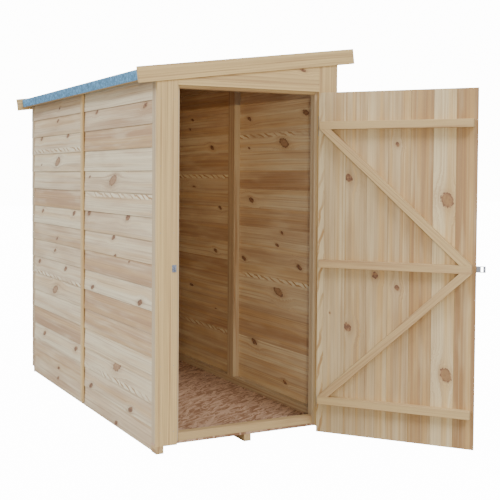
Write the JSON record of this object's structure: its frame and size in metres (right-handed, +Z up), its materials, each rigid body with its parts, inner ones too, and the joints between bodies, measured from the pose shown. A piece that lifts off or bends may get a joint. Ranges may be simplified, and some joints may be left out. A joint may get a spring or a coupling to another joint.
{
  "type": "pent garden shed",
  "caption": "Small pent-roofed timber shed with lapped board walls, felt roof, strand board floor and a ledged and braced door in its narrow end.",
  "frame": {"origin": "on the ground under the middle of the centre floor bearer, which is the middle of the shed's plan", "axes": "+X from the low side to the high side, -Y out through the door end, +Z up"},
  "size_m": [1.366, 2.4493, 1.7647],
  "materials": {
    "boards": "sawn, unpainted",
    "trim": "planed, unpainted",
    "framing": "sawn, unpainted",
    "roof_wood": "sawn, unpainted",
    "strand_board": "pressed strands",
    "felt": "mineral granules",
    "galvanised_steel": "galvanised"
  },
  "bodies": {
    "shed": {"bargeboard_front": "trim", "bargeboard_rear": "trim", "bearer_centre": "framing", "bearer_high": "framing", "bearer_low": "framing", "door_head": "framing", "door_post_high": "framing", "door_post_low": "framing", "floor_board": "strand_board", "front_corner_studs": "framing", "front_header": "trim", "front_top_rail": "framing", "front_trim_high": "trim", "front_trim_low": "trim", "hasp_staple": "galvanised_steel", "high_wall_bottom_rail": "framing", "high_wall_cladding_front": "boards", "high_wall_cladding_rear": "boards", "high_wall_cover_batten": "trim", "high_wall_studs": "framing", "high_wall_top_rail": "framing", "hinge_plate_bottom": "galvanised_steel", "hinge_plate_top": "galvanised_steel", "low_wall_bottom_rail": "framing", "low_wall_cladding_front": "boards", "low_wall_cladding_rear": "boards", "low_wall_cover_batten": "trim", "low_wall_studs": "framing", "low_wall_top_rail": "framing", "rear_bottom_rail": "framing", "rear_cladding": "boards", "rear_studs": "framing", "rear_top_rail": "framing", "roof_boards": "roof_wood", "roof_edge_rails": "framing", "roof_felt": "felt", "roof_wall_rails": "framing", "threshold": "framing"},
    "door": {"door_boards": "boards", "door_ledge_bottom": "framing", "door_ledge_middle": "framing", "door_ledge_top": "framing", "door_brace_lower": "framing", "door_brace_upper": "framing", "hinge_strap_bottom": "galvanised_steel", "hinge_strap_top": "galvanised_steel", "hasp_plate": "galvanised_steel"},
    "hasp": {"hasp_leaf": "galvanised_steel"}
  },
  "joints": [
    {"name": "door_hinge", "type": "hinge", "parent": "shed", "child": "door", "pos_m": [0.3495, -0.94, 0.7855], "axis": [0, 0, 1], "range_deg": [-130, 45]},
    {"name": "hasp_hinge", "type": "hinge", "parent": "door", "child": "hasp", "pos_m": [0.77933, -1.45069, 0.7855], "axis": [0, 0, 1], "range_deg": [0, 150]}
  ]
}
